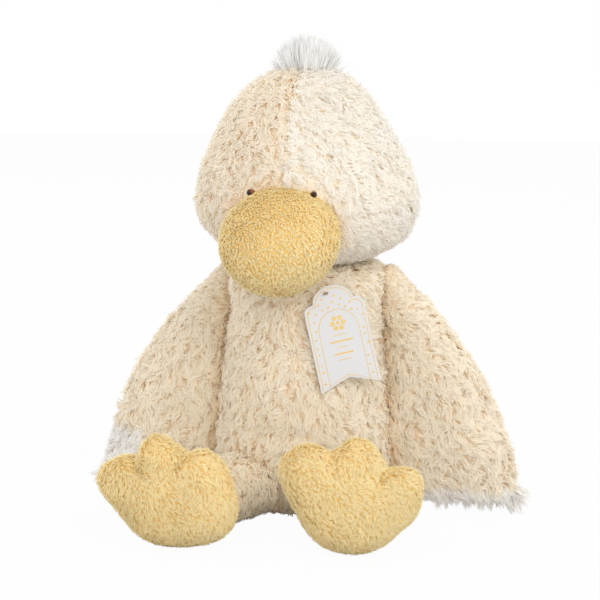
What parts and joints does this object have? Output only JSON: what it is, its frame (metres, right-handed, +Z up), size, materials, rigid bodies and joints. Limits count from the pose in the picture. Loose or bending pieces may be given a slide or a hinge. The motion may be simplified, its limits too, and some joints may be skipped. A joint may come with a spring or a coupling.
{
  "type": "plush duck",
  "caption": "Seated stuffed duck: curly plush body and head, knit bill and feet, hanging wings with white fringes, crown tuft and a bare hang tag.",
  "frame": {"origin": "middle of the flat seat, on the surface the duck sits on", "axes": "+Z up, -Y the way the duck faces, +X towards its left wing"},
  "size_m": [0.3594, 0.2799, 0.3865],
  "materials": {
    "cream_plush": "curly short-pile plush",
    "beige_plush": "curly short-pile plush",
    "yellow_knit": "brushed chunky knit",
    "white_pile": "long straight pile",
    "satin_ribbon": "satin ribbon",
    "fibrefill": "loose polyester fibre",
    "bean_cloth": "plain woven",
    "eye_bead": "polished",
    "tag_card": "smooth printed card",
    "tag_nylon": "clear moulded nylon"
  },
  "bodies": {
    "torso": {"torso_front_panel": "beige_plush", "torso_back_panel": "beige_plush", "torso_stuffing": "fibrefill", "seat_bean_bag": "bean_cloth", "seam_label": "satin_ribbon", "tag_pin": "tag_nylon"},
    "neck": {"neck_wad": "fibrefill"},
    "head": {"head_right_panel": "cream_plush", "head_left_panel": "cream_plush", "head_stuffing": "fibrefill", "eye_left": "eye_bead", "eye_right": "eye_bead", "crown_tuft": "white_pile", "bill_upper_panel": "yellow_knit", "bill_under_panel": "yellow_knit", "bill_stuffing": "fibrefill"},
    "wing_left": {"wing_left_front_panel": "beige_plush", "wing_left_back_panel": "beige_plush", "wing_left_wadding": "fibrefill", "wing_left_fringe": "white_pile"},
    "leg_left": {"leg_left_top_panel": "beige_plush", "leg_left_under_panel": "beige_plush", "leg_left_stuffing": "fibrefill", "foot_left_sole_panel": "yellow_knit", "foot_left_instep_panel": "yellow_knit", "foot_left_stuffing": "fibrefill"},
    "wing_right": {"wing_right_front_panel": "beige_plush", "wing_right_back_panel": "beige_plush", "wing_right_wadding": "fibrefill", "wing_right_fringe": "white_pile"},
    "leg_right": {"leg_right_top_panel": "beige_plush", "leg_right_under_panel": "beige_plush", "leg_right_stuffing": "fibrefill", "foot_right_sole_panel": "yellow_knit", "foot_right_instep_panel": "yellow_knit", "foot_right_stuffing": "fibrefill"},
    "tag": {"tag_card": "tag_card"}
  },
  "joints": [
    {"name": "neck_turn", "type": "hinge", "parent": "torso", "child": "neck", "pos_m": [0, -0.003, 0.2015], "axis": [0, 0, 1], "range_deg": [-20, 20], "stiffness_Nm_per_rad": 1},
    {"name": "head_nod", "type": "hinge", "parent": "neck", "child": "head", "pos_m": [0, -0.003, 0.2015], "axis": [1, 0, 0], "range_deg": [-8, 8], "stiffness_Nm_per_rad": 1.8},
    {"name": "wing_lift_left", "type": "hinge", "parent": "torso", "child": "wing_left", "pos_m": [0.0675, 0.002, 0.188], "axis": [0, -1, 0], "range_deg": [0, 75]},
    {"name": "wing_lift_right", "type": "hinge", "parent": "torso", "child": "wing_right", "pos_m": [-0.0675, 0.002, 0.188], "axis": [0, 1, 0], "range_deg": [0, 75]},
    {"name": "leg_swing_left", "type": "hinge", "parent": "torso", "child": "leg_left", "pos_m": [0.042, -0.0745, 0.046], "axis": [-0.9744, -0.225, 0], "range_deg": [0, 45]},
    {"name": "leg_swing_right", "type": "hinge", "parent": "torso", "child": "leg_right", "pos_m": [-0.042, -0.07, 0.046], "axis": [-0.9272, 0.3746, 0], "range_deg": [0, 45]},
    {"name": "tag_swing", "type": "hinge", "parent": "torso", "child": "tag", "pos_m": [0.02505, -0.06868, 0.18555], "axis": [0.9122, 0.3638, 0.1885], "range_deg": [-30, 0]}
  ]
}
